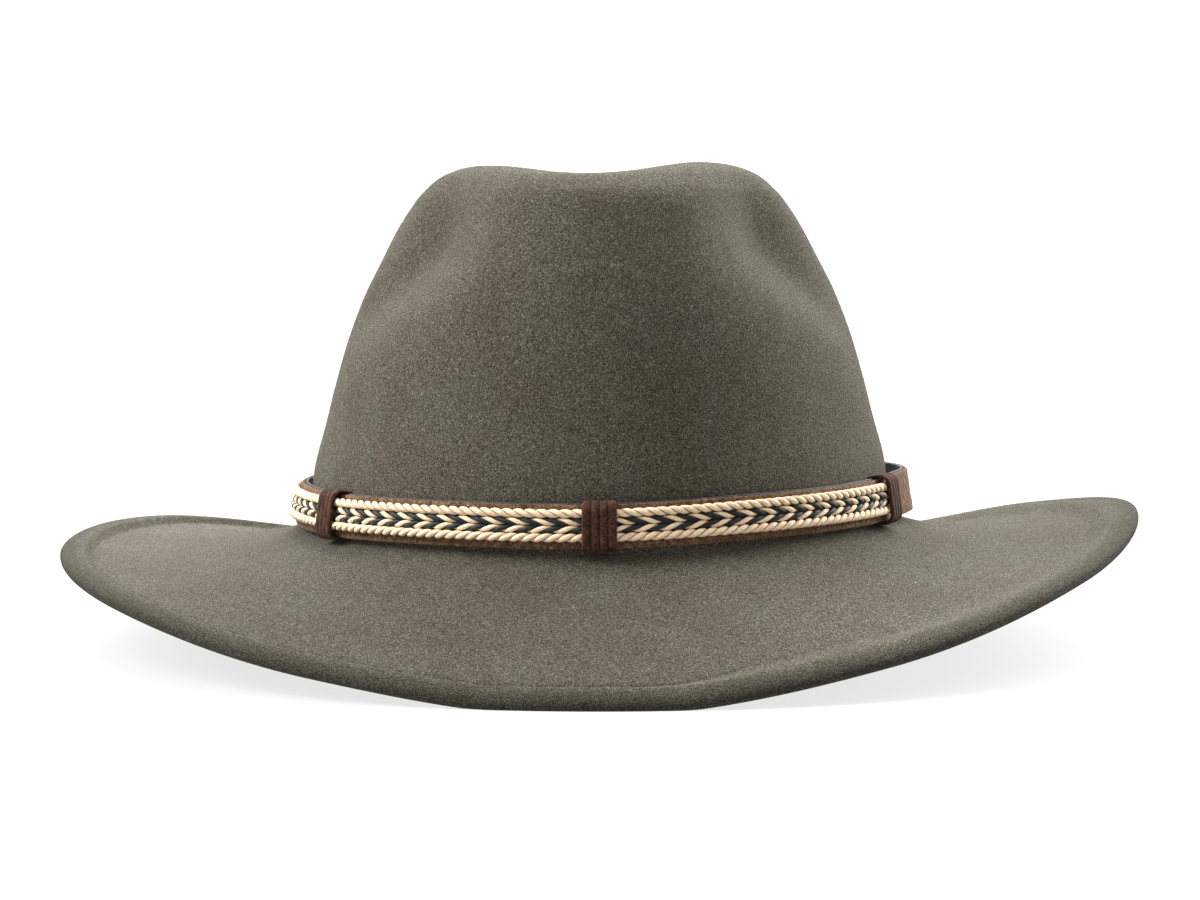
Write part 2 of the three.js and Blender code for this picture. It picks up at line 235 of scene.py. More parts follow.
# Sizes worked out from these
HALF_FELT = FELT_THICKNESS / 2
ROLL_RADIUS = (FELT_THICKNESS + WELT_RISE + WELT_DROP) / 2
ROLL_CENTRE = (WELT_RISE - WELT_DROP) / 2
SIDE_FOOT = FOOT_HEIGHT * (FOOT_HEIGHTS[3] + FOOT_HEIGHTS[9]) / 2
STRAP_FOOT = HALF_FELT + STRAP_SEAT
BACKING_OUT = LACE_BACK + 2 * CLEARANCE
FACING_OUT = BACKING_OUT + BACKING_THICKNESS + CLEARANCE
CORDS_OUT = FACING_OUT + FACING_THICKNESS + CLEARANCE
WRAP_OUT = CORDS_OUT + CORD_ROOM + CLEARANCE
BACKING_TOP = STRAP_HEIGHT + 0.25
FACING_TOP = STRAP_HEIGHT - 0.2


def column(values, row):
    """A table's column at rows that may lie between two of its own, through a smooth curve."""
    values = np.asarray(values, float)
    last = len(values) - 1
    row = np.asarray(row, float)
    low = np.clip(np.floor(row).astype(int), 0, last - 1)
    a, b, c, d = (values[np.clip(low + k, 0, last)] for k in (-1, 0, 1, 2))
    return smooth(a, b, c, d, row - low)


def smooth(a, b, c, d, g):
    """A smooth curve from b to c through its neighbours a and d, at a share g of the way."""
    linear = (c - a) * g
    square = (2 * a - 5 * b + 4 * c - d) * g**2
    cube = (3 * b - a - 3 * c + d) * g**3
    return b + (linear + square + cube) / 2


def smoothstep(value, low, high):
    """0 up to low and 1 from high on, with a smooth rise between."""
    share = np.clip((value - low) / (high - low), 0, 1)
    return share**2 * (3 - 2 * share)


def round_value(values, phi):
    """A value from a table that goes once round the hat, from its front and turning right."""
    values = np.asarray(values, float)
    count = len(values)
    row = np.mod(phi / (2 * math.pi), 1) * count
    low = np.floor(row).astype(int)
    a, b, c, d = (values[(low + k) % count] for k in (-1, 0, 1, 2))
    return smooth(a, b, c, d, row - low)


def quarter(table, phi):
    """A value at an angle from the four at the front, right, back and left."""
    along, across = np.cos(phi), np.sin(phi)
    near_y = np.where(along > 0, table["front"], table["back"])
    near_x = np.where(across > 0, table["right"], table["left"])
    return along**2 * near_y + across**2 * near_x


def crease(x, y):
    """Depth of the hollow in the crown's top."""
    row = (y / (CROWN_LENGTH / 2) - CREASE_FIRST) / CREASE_STEP
    width = column(CREASE["width"], row) * CROWN_WIDTH
    across = (x - column(CREASE["side"], row) * CROWN_WIDTH) / width
    depth = CREASE_DEPTH * column(CREASE["depth"], row) * np.exp(-(across**2))
    return np.where((row > 0) & (row < len(CREASE["depth"]) - 1), depth, 0)


def crown_middle(row, phi):
    """The middle of the crown's felt, with the row counted up from the foot."""
    row, phi = np.broadcast_arrays(np.asarray(row, float), np.asarray(phi, float))
    rise = column(CROWN["rise"], row)
    below = PINCH["straight"] - rise
    below = (below + np.hypot(below, PINCH["bend"])) / 2
    angle = PINCH["angle"] + PINCH["lean"] * below
    past = np.abs(np.degrees(np.arctan2(np.sin(phi), np.cos(phi)))) - angle
    around = past / np.where(past < 0, PINCH["front"], PINCH["rear"])
    up = (rise - PINCH["rise"]) / PINCH["reach"]
    pinch = PINCH_DEPTH * np.exp(-(around**2) - up**2)
    half_width = column(CROWN["width"], row) * CROWN_WIDTH / 2 - pinch
    half_length = column(CROWN["length"], row) * CROWN_LENGTH / 2 - pinch
    x = half_width * np.sin(phi)
    y = column(CROWN["shift"], row) * CROWN_LENGTH / 2 - half_length * np.cos(phi)
    rim = SIDE_FOOT + CROWN_HEIGHT - TOP_SLOPE * y + TOP_TILT * x
    share = np.minimum(rise, 1)
    foot = round_value(FOOT_HEIGHTS, phi) * FOOT_HEIGHT
    z = foot * (1 - share) + rim * share + np.maximum(rise - 1, 0) * CROWN_HEIGHT
    return np.stack([x, y, z - crease(x, y)], -1)


def brim_middle(share, phi):
    """The middle of the brim's felt, from 0 at the foot to 1 at the edge's rounding."""
    share, phi = np.broadcast_arrays(np.asarray(share, float), np.asarray(phi, float))
    half_width = CROWN_WIDTH / 2 + (BRIM_WIDTH / 2 - ROLL_RADIUS - CROWN_WIDTH / 2) * share
    half_length = CROWN_LENGTH / 2 + (BRIM_LENGTH / 2 - ROLL_RADIUS - CROWN_LENGTH / 2) * share
    foot = round_value(FOOT_HEIGHTS, phi) * FOOT_HEIGHT
    lift = np.maximum(round_value(EDGE_HEIGHTS, phi) * EDGE_LIFT - REST_LEVEL, 0)
    edge = ROLL_RADIUS - ROLL_CENTRE - REST_PRESS + lift
    sag = quarter(SAG, phi) * BRIM_SAG * 4 * share * (1 - share)
    z = foot + (edge - foot) * share - sag
    return np.stack([half_width * np.sin(phi), -half_length * np.cos(phi), z], -1)


def unit(vectors):
    return vectors / np.maximum(np.linalg.norm(vectors, axis=-1, keepdims=True), SHORTEST)


def normal_of(surface, row, phi):
    """The unit normal of a surface, from points a small step to each side."""
    along = surface(row + SMALL_STEP, phi) - surface(row - SMALL_STEP, phi)
    around = surface(row, phi + SMALL_STEP) - surface(row, phi - SMALL_STEP)
    return unit(np.cross(around, along))


def crown_out(row, phi):
    return normal_of(crown_middle, row, phi)


def brim_up(share, phi):
    return -normal_of(brim_middle, share, phi)


def skin_faces(rows, count, spans):
    """Quads from row to row of points, going round, where the last row is followed by the first."""
    i, j = np.meshgrid(np.arange(spans), np.arange(count), indexing="ij")
    after, k = (i + 1) % rows, (j + 1) % count
    quads = np.stack([i * count + j, after * count + j, after * count + k, i * count + k], -1)
    return quads.reshape(-1, 4)


def make_object(name, points, faces, materials, face_slots=None, uvs=None):
    """A smooth mesh object from points in millimetres."""
    mesh = bpy.data.meshes.new(name)
    mesh.from_pydata((np.asarray(points).reshape(-1, 3) * METRES).tolist(), [], faces)
    for material in materials:
        mesh.materials.append(material)
    if face_slots is not None:
        mesh.polygons.foreach_set("material_index", np.asarray(face_slots, np.int32))
    if uvs is not None:
        corners = np.empty(len(mesh.loops), np.int32)
        mesh.loops.foreach_get("vertex_index", corners)
        layer = mesh.uv_layers.new(name="UVMap")
        layer.data.foreach_set("uv", np.asarray(uvs, np.float32).reshape(-1, 2)[corners].ravel())
    work = bmesh.new()
    work.from_mesh(mesh)
    bmesh.ops.recalc_face_normals(work, faces=work.faces)
    work.to_mesh(mesh)
    work.free()
    mesh.polygons.foreach_set("use_smooth", np.ones(len(mesh.polygons), bool))
    piece = bpy.data.objects.new(name, mesh)
    bpy.context.scene.collection.objects.link(piece)
    return piece


def lengths_along(path):
    """The length of a path up to each of its points."""
    return np.concatenate([[0], np.cumsum(np.linalg.norm(np.diff(path, axis=0), axis=1))])


def sweep(rings):
    """Points, faces and UVs of a solid through closed rings, with a fan over each end."""
    rings = np.asarray(rings)
    rows, count = rings.shape[:2]
    points = np.concatenate([rings.reshape(-1, 3), rings[0].mean(0)[None], rings[-1].mean(0)[None]])
    faces = skin_faces(rows, count, rows - 1).tolist()
    first, last = rows * count, rows * count + 1
    for j in range(count):
        k = (j + 1) % count
        faces.append([first, j, k])
        faces.append([last, (rows - 1) * count + k, (rows - 1) * count + j])
    along = lengths_along(rings.mean(1))
    u = np.repeat(along[:, None], count, 1)
    v = np.repeat(np.arange(count)[None] / count, rows, 0)
    uvs = np.stack([u, v], -1).reshape(-1, 2)
    uvs = np.concatenate([uvs, [[along[0], 0.5], [along[-1], 0.5]]])
    return points, faces, uvs


# Materials


class Paint:
    """A material under construction, with short ways to add its nodes."""

    def __init__(self, name, roughness, **sockets):
        self.material = bpy.data.materials.new(name)
        self.material.use_nodes = True
        self.tree = self.material.node_tree
        self.shader = self.tree.nodes["Principled BSDF"]
        self.shader.inputs["Roughness"].default_value = roughness
        for socket, value in sockets.items():
            self.shader.inputs[socket.replace("_", " ")].default_value = value
        self.coords = self.tree.nodes.new("ShaderNodeTexCoord")

    def set_gloss(self, level):
        self.shader.inputs["Specular IOR Level"].default_value = level

    def node(self, kind, inputs=(), **settings):
        """A new node with its inputs joined or set, and its settings."""
        node = self.tree.nodes.new(kind)
        for name, value in settings.items():
            setattr(node, name, value)
        for name, value in dict(inputs).items():
            if isinstance(value, bpy.types.NodeSocket):
                self.tree.links.new(value, node.inputs[name])
            else:
                node.inputs[name].default_value = value
        return node

    def spot(self, scale, detail=2, roughness=0.5, stretch=None, turn=(0, 0, 0), distortion=0):
        """Noise from 0 to 1, with its size set by a scale in spots for each metre."""
        vector = self.coords.outputs["Object"]
        if stretch is not None:
            mapping = self.node("ShaderNodeMapping", {"Vector": vector, "Scale": stretch, "Rotation": turn})
            vector = mapping.outputs["Vector"]
        inputs = {"Vector": vector, "Scale": scale, "Detail": detail, "Roughness": roughness}
        inputs["Distortion"] = distortion
        return self.node("ShaderNodeTexNoise", inputs).outputs["Fac"]

    def uv(self, part):
        """One part, X or Y, of the UV coordinates."""
        return self.node("ShaderNodeSeparateXYZ", {"Vector": self.coords.outputs["UV"]}).outputs[part]

    def math(self, operation, a, b=0):
        return self.node("ShaderNodeMath", {0: a, 1: b}, operation=operation).outputs[0]

    def average(self, a, b, share=0.5):
        """A mean of two values, with the share of the first one."""
        return self.math("ADD", self.math("MULTIPLY", a, share), self.math("MULTIPLY", b, 1 - share))

    def ramp(self, value, *stops):
        """Colours at rising positions, with straight blends between."""
        node = self.node("ShaderNodeValToRGB", {"Fac": value})
        elements = node.color_ramp.elements
        while len(elements) < len(stops):
            elements.new(0.5)
        for element, (position, colour) in zip(elements, stops):
            element.position = position
            element.color = (*colour, 1)
        return node.outputs["Color"]

    def blend(self, share, a, b, kind="MIX"):
        """Two colours blended by a share from 0 to 1."""
        node = self.node("ShaderNodeMix", data_type="RGBA", blend_type=kind)
        sockets = {"Factor": share, "A": a, "B": b}
        for socket in node.inputs:
            if socket.enabled and socket.name in sockets:
                value = sockets[socket.name]
                if isinstance(value, bpy.types.NodeSocket):
                    self.tree.links.new(value, socket)
                else:
                    socket.default_value = (*value, 1) if socket.type == "RGBA" else value
        return next(o for o in node.outputs if o.enabled)

    def colour(self, socket):
        self.tree.links.new(socket, self.shader.inputs["Base Color"])

    def bump(self, height, distance, strength):
        node = self.node("ShaderNodeBump", {"Height": height, "Distance": distance, "Strength": strength})
        self.tree.links.new(node.outputs["Normal"], self.shader.inputs["Normal"])


def felt_material():
    """Felt of mixed fibres in slightly warm and cool patches, with painted shade that darkens it towards the
    brim's edge.
    """
    paint = Paint("felt", 0.96, Sheen_Weight=0.05, Sheen_Roughness=0.4, Sheen_Tint=(0.8, 0.74, 0.6, 1))
    paint.set_gloss(0.12)
    grain = paint.spot(2500, detail=2, roughness=0.6)
    lying = {"stretch": (3.4, 0.9, 1.1), "turn": (0.3, 0.5, 0.7), "distortion": 1.4}
    crossing = {"stretch": (0.9, 1.2, 3.2), "turn": (0.6, -0.4, 0.2), "distortion": 1.2}
    strands = paint.spot(1080, detail=2, roughness=0.6, **lying)
    crossed = paint.spot(1080, detail=2, roughness=0.6, **crossing)
    patches = paint.spot(55, detail=3, roughness=0.55)
    fine = paint.average(grain, paint.average(strands, crossed))
    tone = paint.ramp(
        fine,
        (0.39, (0.012, 0.01, 0.007)),
        (0.465, (0.05, 0.045, 0.033)),
        (0.53, (0.094, 0.086, 0.066)),
        (0.63, (0.25, 0.232, 0.185)),
    )
    warm, plain, cool = (0.95, 0.9, 0.83), (1.05, 1.02, 0.98), (1.1, 1.11, 1.11)
    shade = paint.ramp(patches, (0.3, warm), (0.5, plain), (0.7, cool))
    # Painted shade: the felt is darkened over the last few millimetres in from the brim's edge.
    inwards = paint.uv("X")
    painted_edge_shade = paint.ramp(inwards, (0.1, (0.45, 0.45, 0.44)), (0.45, (0.62, 0.62, 0.61)), (0.9, (1, 1, 1)))
    paint.colour(paint.blend(1, paint.blend(1, tone, shade, "MULTIPLY"), painted_edge_shade, "MULTIPLY"))
    paint.bump(fine, distance=0.0012, strength=0.9)
    return paint.material


def nap_material():
    """Fibres of mixed tones, lighter than the felt: partly the hairs' own colour and partly painted
    highlight where they catch the light.
    """
    paint = Paint("nap", 0.9, Sheen_Weight=0.1, Sheen_Roughness=0.5, Sheen_Tint=(0.8, 0.75, 0.62, 1))
    paint.set_gloss(0.15)
    tone = paint.spot(2600, detail=1)
    # The light tone is partly painted highlight.
    dark, middle, light = (0.05, 0.045, 0.034), (0.13, 0.118, 0.092), (0.4, 0.375, 0.31)
    paint.colour(paint.ramp(tone, (0.35, dark), (0.52, middle), (0.66, light)))
    return paint.material


def suede_material():
    """Tan suede with tufts of loose fibre."""
    paint = Paint("suede", 0.93, Sheen_Weight=0.25, Sheen_Roughness=0.4, Sheen_Tint=(0.9, 0.75, 0.6, 1))
    paint.set_gloss(0.15)
    grain = paint.spot(1500, detail=3, roughness=0.6)
    tufts = paint.spot(650, detail=3, roughness=0.65, distortion=0.8)
    mottled = paint.average(grain, tufts, 0.45)
    tone = paint.ramp(
        mottled,
        (0.36, (0.04, 0.019, 0.008)),
        (0.46, (0.095, 0.05, 0.024)),
        (0.56, (0.17, 0.098, 0.049)),
        (0.68, (0.34, 0.22, 0.125)),
    )
    paint.colour(tone)
    paint.bump(mottled, distance=0.0012, strength=0.8)
    return paint.material


def backing_material():
    """Dark matt leather."""
    paint = Paint("backing", 0.85)
    grain = paint.spot(1700, detail=3, roughness=0.6)
    paint.colour(paint.ramp(grain, (0.35, (0.018, 0.018, 0.021)), (0.65, (0.055, 0.053, 0.058))))
    paint.bump(grain, distance=0.0005, strength=0.5)
    return paint.material


def cord_material(name, groove, dark, middle, light):
    """A ply of a cord, with painted shade in the groove where it lies against the other ply."""
    paint = Paint(name, 0.6, Sheen_Weight=0.1, Sheen_Roughness=0.4)
    paint.set_gloss(0.3)
    tone = paint.spot(1300, detail=2, roughness=0.6)
    # Painted shade: the side of each ply that faces the other ply takes the groove's darker colour.
    off_crest = paint.math("ABSOLUTE", paint.math("SUBTRACT", paint.uv("Y"), 0.5))
    clear_of_groove_shade = paint.ramp(off_crest, (0.22, (1, 1, 1)), (0.36, (0, 0, 0)))
    paint.colour(paint.blend(clear_of_groove_shade, groove, paint.ramp(tone, (0.3, dark), (0.5, middle), (0.7, light))))
    paint.bump(tone, distance=0.0002, strength=0.6)
    return paint.material


def lace_material():
    """Dark brown suede with scuffs."""
    paint = Paint("lace", 0.9, Sheen_Weight=0.06, Sheen_Roughness=0.4, Sheen_Tint=(0.8, 0.55, 0.45, 1))
    paint.set_gloss(0.18)
    grain = paint.spot(1600, detail=3, roughness=0.62)
    scuffs = paint.spot(380, detail=3, roughness=0.6)
    tone = paint.average(grain, scuffs, 0.6)
    dark, middle, light = (0.014, 0.006, 0.004), (0.05, 0.02, 0.012), (0.12, 0.054, 0.034)
    paint.colour(paint.ramp(tone, (0.36, dark), (0.5, middle), (0.66, light)))
    paint.bump(tone, distance=0.0007, strength=0.7)
    return paint.material


FELT = felt_material()
SUEDE = suede_material()
BACKING = backing_material()
NAP = nap_material()
# The groove colours are painted shade between the plies.
CREAM = cord_material(
    "cream_ply",
    groove=(0.26, 0.13, 0.045),
    dark=(0.74, 0.51, 0.3),
    middle=(0.87, 0.66, 0.44),
    light=(0.93, 0.77, 0.58),
)
DARK = cord_material(
    "dark_ply",
    groove=(0.002, 0.003, 0.003),
    dark=(0.005, 0.008, 0.009),
    middle=(0.01, 0.015, 0.017),
    light=(0.022, 0.03, 0.032),
)
LACE = lace_material()


# Felt


def crown_rows():
    """Rows from the middle of the crown's top down to its foot, a millimetre or two apart."""
    rows = [np.linspace(first, last, steps + 1)[:-1] for first, last, steps in CROWN_STRETCHES]
    return np.concatenate(rows)


def felt_rings():
    """Rings of points round the felt: down its outside, over its edge and up inside."""
    phi = np.arange(TURN_STEPS) * 2 * math.pi / TURN_STEPS
    span = np.linalg.norm(brim_middle(1.0, phi) - brim_middle(0.0, phi), axis=-1)
    edge_up = brim_up(1.0, phi)
    outwards = brim_middle(1.0, phi) - brim_middle(NEAR_EDGE, phi)
    outwards = unit(outwards - (outwards * edge_up).sum(-1, keepdims=True) * edge_up)

    def brim_ring(inwards, height):
        """A ring so far in from the brim's edge, or out from it where that is below 0, and so far up."""
        share = 1 - np.maximum(inwards, 0) / span
        raised = brim_middle(share, phi) + brim_up(share, phi) * np.reshape(height, (-1, 1))
        return raised + outwards * max(-np.min(inwards), 0)

    def corner(side):
        """The ring between crown and brim, outside where side is 1 and inside where it is -1."""
        wall, brim = crown_out(NEAR_FOOT, phi), brim_up(NEAR_FOOT, phi)
        mitre = (wall + brim) / (1 + (wall * brim).sum(-1, keepdims=True))
        return brim_middle(0.0, phi) + mitre * side * HALF_FELT

    def lip_ring(angle):
        """The edge is rounded slowly on its top and quickly below."""
        centre = LIP_WIDTH if angle > 0 else 0
        inwards = centre - (ROLL_RADIUS + centre) * math.cos(angle)
        return brim_ring(inwards, ROLL_CENTRE + ROLL_RADIUS * math.sin(angle))

    rings = [crown_middle(row, phi) + crown_out(row, phi) * HALF_FELT for row in crown_rows()]
    rings.append(corner(1))
    back = smoothstep(np.sin(phi), *BACK_BLEND)
    shoulder = SHOULDER_WIDTH + (SHOULDER_WIDTH_BACK - SHOULDER_WIDTH) * back
    groove = GROOVE_DEPTH * (1 - back)
    start = LIP_WIDTH + shoulder + GROOVE_WIDTH
    for part in np.linspace(1, 0, BRIM_STEPS + 1)[1:]:
        rings.append(brim_ring(start + part * (span - start), HALF_FELT))
    for share in (0.5, 1):
        rings.append(brim_ring(start - GROOVE_WIDTH * share, HALF_FELT - groove * share))
    for part in np.linspace(1, 0, SHOULDER_STEPS + 1)[1:-1]:
        rise = smoothstep(1 - part, 0, 1)
        height = HALF_FELT + rise * WELT_RISE - (1 - rise) * groove
        rings.append(brim_ring(LIP_WIDTH + part * shoulder, height))
    for angle in (*LIP_TOP_ANGLES, *LIP_UNDER_ANGLES):
        rings.append(lip_ring(math.radians(angle)))
    for share in WELT_SHARES:
        rings.append(brim_ring(WELT_WIDTH * share, ROLL_CENTRE - ROLL_RADIUS))
    for part in np.linspace(0, 1, UNDERSIDE_STEPS + 1)[:-1]:
        rings.append(brim_ring(WELT_WIDTH + part * (span - WELT_WIDTH), -HALF_FELT))
    rings.append(corner(-1))
    for row in crown_rows()[::-INSIDE_STRIDE]:
        rings.append(crown_middle(row, phi) - crown_out(row, phi) * HALF_FELT)
    rings = np.array(rings)
    rings[..., 2] = np.maximum(rings[..., 2], 0)
    return rings


def make_felt(rings):
    """The felt, with the way in from its edge as the first part of its UVs, which sets where its painted
    shade falls.
    """
    points, faces, _ = sweep(rings)
    outermost = np.argmax(np.linalg.norm(rings[..., :2], axis=-1), axis=0)
    widest = rings[outermost, np.arange(TURN_STEPS)]
    inwards = np.linalg.norm(rings - widest, axis=-1).reshape(-1) / EDGE_SHADE_REACH
    uvs = np.stack([np.append(np.minimum(inwards, 1), [1, 1]), np.full(len(points), 0.5)], -1)
    return make_object("felt_shell", points, faces, [FELT], uvs=uvs)


def make_nap(rings):
    """Short loose fibres on the felt's outside. Each is a closed spike with its foot in the felt."""
    random = np.random.default_rng(NAP_SEED)
    outside = rings[: int(len(rings) * NAP_OUTSIDE)]
    a, b = outside[:-1], outside[1:]
    c, d = np.roll(a, -1, axis=1), np.roll(b, -1, axis=1)
    across = np.cross(b - a, c - a).reshape(-1, 3)
    area = np.linalg.norm(across, axis=-1)
    pick = random.choice(len(area), NAP_COUNT, p=area / area.sum())
    i, j = random.random((2, NAP_COUNT, 1))
    a, b, c, d = (corner.reshape(-1, 3)[pick] for corner in (a, b, c, d))
    foot = a * (1 - i) * (1 - j) + b * i * (1 - j) + c * (1 - i) * j + d * i * j
    normal = unit(across[pick])
    flat = unit(np.cross(normal, random.normal(size=(NAP_COUNT, 3))))
    side = np.cross(normal, flat)
    lean = np.radians(random.uniform(*NAP_LEAN, (NAP_COUNT, 1)))
    length = NAP_LENGTH * random.uniform(NAP_SHORTEST, 1, (NAP_COUNT, 1))
    tip = foot + length * (normal * np.cos(lean) + flat * np.sin(lean))
    points = []
    for turn in np.radians([0, 120, 240]):
        way = flat * math.cos(turn) + side * math.sin(turn)
        points.append(foot - normal * NAP_ROOT + way * NAP_WIDTH / 2)
    points = np.stack([*points, tip], 1)
    points[..., 2] = np.maximum(points[..., 2], 0)
    spike = np.array([[0, 2, 1], [0, 1, 3], [1, 2, 3], [2, 0, 3]])
    faces = np.arange(NAP_COUNT)[:, None, None] * 4 + spike
    return make_object("felt_nap", points, faces.reshape(-1, 3).tolist(), [NAP])


# Band


def band_point(angle, out, up):
    """A point so far round the crown in degrees, out from its felt and up from the strap's lower edge."""
    phi = np.radians(angle)
    rows_a_millimetre = BAND_ROW / (CROWN["rise"][BAND_ROW] * CROWN_HEIGHT)
    low = crown_middle(STRAP_FOOT * rows_a_millimetre, phi)
    high = crown_middle((STRAP_FOOT + STRAP_HEIGHT) * rows_a_millimetre, phi)
    normal = crown_out((STRAP_FOOT + STRAP_HEIGHT / 2) * rows_a_millimetre, phi)
    upwards = unit(high - low) * np.asarray(up)[..., None]
    return low + upwards + normal * np.asarray(HALF_FELT + out)[..., None]


def tab_offset(angle):
    """How much farther out than elsewhere the strap stands."""
    standing = TAB_STANDOFF - BACKING_OUT
    over_cords = WRAP_OUT - BACKING_OUT
    first = smoothstep(angle, TAB_ANGLES[0], TAB_ANGLES[1]) * standing
    return first + smoothstep(angle, TAB_ANGLES[1], TAB_ANGLES[2]) * (over_cords - standing)


def strap_layer(name, material, out, thickness, top, rough, seed):
    """A layer of the strap with rounded, slightly uneven edges."""
    random = np.random.default_rng(seed)
    angles = np.linspace(*STRAP_ANGLES, STRAP_STEPS)
    corner = min(thickness * STRAP_CORNER_SHARE, STRAP_CORNER)
    cut = corner * CORNER_CUT
    faces_up = np.linspace(corner, top - corner, STRAP_FACE_STEPS)
    ring = [(thickness, up) for up in faces_up]
    ring += [(thickness - cut, top - cut), (thickness / 2, top), (cut, top - cut)]
    ring += [(0, up) for up in faces_up[::-STRAP_BACK_STRIDE]]
    ring += [(cut, cut), (thickness / 2, 0), (thickness - cut, cut)]
    kernel = np.array([1, 2, 3, 2, 1]) / 9
    rings = []
    offset = out + tab_offset(angles)
    for depth, up in ring:
        uneven = np.convolve(random.normal(0, rough, len(angles) + len(kernel) - 1), kernel, "valid")
        on_front = depth > thickness * FRONT_SHARE
        on_edge = abs(up - top / 2) > top / 2 - corner
        rings.append(band_point(angles, offset + depth + uneven * on_front, up + uneven * on_edge))
    points, faces, uvs = sweep(np.stack(rings, 1))
    return make_object(name, points, faces, [material], uvs=uvs)


def cord_frame(angles, out, up):
    """The middle of a cord, with the directions out of and up the band."""
    middle = band_point(angles, np.full_like(angles, out), np.full_like(angles, up))
    along = unit(np.gradient(middle, axis=0))
    outwards = middle - band_point(angles, np.full_like(angles, out - 1), np.full_like(angles, up))
    outwards = unit(outwards - (outwards * along).sum(-1, keepdims=True) * along)
    upwards = np.cross(outwards, along)
    upwards *= np.sign(upwards[:, 2:3])
    return middle, outwards, upwards


def twisted_cord(name, radius, up, pitch, lay, phase, materials):
    """Two plies twisted together. Strands rise to the right with a lay of 1, and fall with a lay of -1."""
    ply_radius = radius * PLY_SHARE
    helix_radius = radius - ply_radius
    coarse = np.linspace(*CORD_ANGLES, CORD_STEPS)
    path = cord_frame(coarse, CORDS_OUT + radius, up)[0]
    length = lengths_along(path)
    count = int(length[-1] / pitch * PLY_STEPS_A_TURN)
    distance = np.linspace(0, length[-1], count)
    angles = np.interp(distance, length, coarse)
    middle, outwards, upwards = cord_frame(angles, CORDS_OUT + radius, up)
    points, faces, slots, uvs = [], [], [], []
    for ply in range(2):
        turn = lay * 2 * math.pi * distance / pitch + phase + ply * math.pi
        across = outwards * np.cos(turn)[:, None] + upwards * np.sin(turn)[:, None]
        centre = middle + across * helix_radius
        tangent = unit(np.gradient(centre, axis=0))
        side = unit(np.cross(tangent, across))
        across = np.cross(side, tangent)
        around = math.pi + np.arange(PLY_SIDES) * 2 * math.pi / PLY_SIDES
        rings = (
            centre[:, None]
            + across[:, None] * np.cos(around)[None, :, None] * ply_radius
            + side[:, None] * np.sin(around)[None, :, None] * ply_radius * PLY_FLATTENING
        )
        ply_points, ply_faces, ply_uvs = sweep(rings)
        base = sum(len(part) for part in points)
        points.append(ply_points)
        faces += [[index + base for index in face] for face in ply_faces]
        slots += [min(ply, len(materials) - 1)] * len(ply_faces)
        uvs.append(ply_uvs)
    return make_object(name, np.concatenate(points), faces, materials, slots, np.concatenate(uvs))


def rounded_loop(near, far, low, high):
    """A lace's closed path across the band, with rounded corners, and the way out of it at each point."""
    corners = (
        (far - LACE_FAR_RADIUS, low + LACE_FAR_RADIUS, LACE_FAR_RADIUS, -90),
        (far - LACE_FAR_RADIUS, high - LACE_FAR_RADIUS, LACE_FAR_RADIUS, 0),
        (near + LACE_NEAR_RADIUS, high - LACE_NEAR_RADIUS, LACE_NEAR_RADIUS, 90),
        (near + LACE_NEAR_RADIUS, low + LACE_NEAR_RADIUS, LACE_NEAR_RADIUS, 180),
    )
    path, ways = [], []
    for out, up, radius, start in corners:
        for angle in np.radians(np.linspace(start, start + 90, LACE_CORNER_STEPS)):
            way = np.array([math.cos(angle), math.sin(angle)])
            path.append(np.array([out, up]) + radius * way)
            ways.append(way)
    return np.array(path), np.array(ways)


def lace_wrap(name, middle_angle, seed):
    """Turns of flat lace round the strap and cords, side by side."""
    random = np.random.default_rng(seed)
    here = band_point(np.array([middle_angle, middle_angle + 1.0]), np.full(2, FACING_OUT), np.zeros(2))
    degrees_a_millimetre = 1 / np.linalg.norm(here[1] - here[0])
    half_wide = LACE_WIDTH / 2 - LACE_GAP
    half_back = LACE_BACK / 2
    points, faces = [], []
    for turn in range(LACE_TURNS):
        middle = (turn - (LACE_TURNS - 1) / 2) * LACE_WIDTH
        slack = random.uniform(-LACE_SLACK, LACE_SLACK)
        far = WRAP_OUT + LACE_THICKNESS / 2 + slack
        high = STRAP_HEIGHT + CLEARANCE + half_back + slack
        path, ways = rounded_loop(CLEARANCE + half_back, far, -CLEARANCE - half_back, high)
        front = np.clip((path[:, 0] - CLEARANCE - LACE_BACK) / (WRAP_OUT - LACE_BACK), 0, 1)
        half_thick = half_back + (LACE_THICKNESS - LACE_BACK) / 2 * front
        wander = np.cumsum(random.normal(0, LACE_WANDER, len(path)))
        wander -= np.linspace(0, wander[-1], len(path))
        section = []
        for across, depth in LACE_SECTION:
            out, up = (path + ways * (depth * half_thick)[:, None]).T
            angle = middle_angle + (middle + across * half_wide + wander) * degrees_a_millimetre
            section.append(band_point(angle, out, up))
        rings = np.stack(section, 1)
        count, sides = rings.shape[:2]
        faces += (skin_faces(count, sides, count) + turn * count * sides).tolist()
        points.append(rings.reshape(-1, 3))
    return make_object(name, np.concatenate(points), faces, [LACE])


# Assembly


def stand_for(piece, node):
    """Lets a piece stand for a solid."""
    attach(piece, "root")
    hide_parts(node)


felt = felt_rings()
stand_for(make_felt(felt), "felt_body")
nap = make_nap(felt)
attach(nap, "root")
backing = strap_layer(
    "strap_back", BACKING, BACKING_OUT, BACKING_THICKNESS, BACKING_TOP, BACKING_ROUGH, seed=3
)
facing = strap_layer(
    "strap_front", SUEDE, FACING_OUT, FACING_THICKNESS, FACING_TOP, FACING_ROUGH, seed=4
)
stand_for(backing, "strap_backing")
stand_for(facing, "strap_facing")

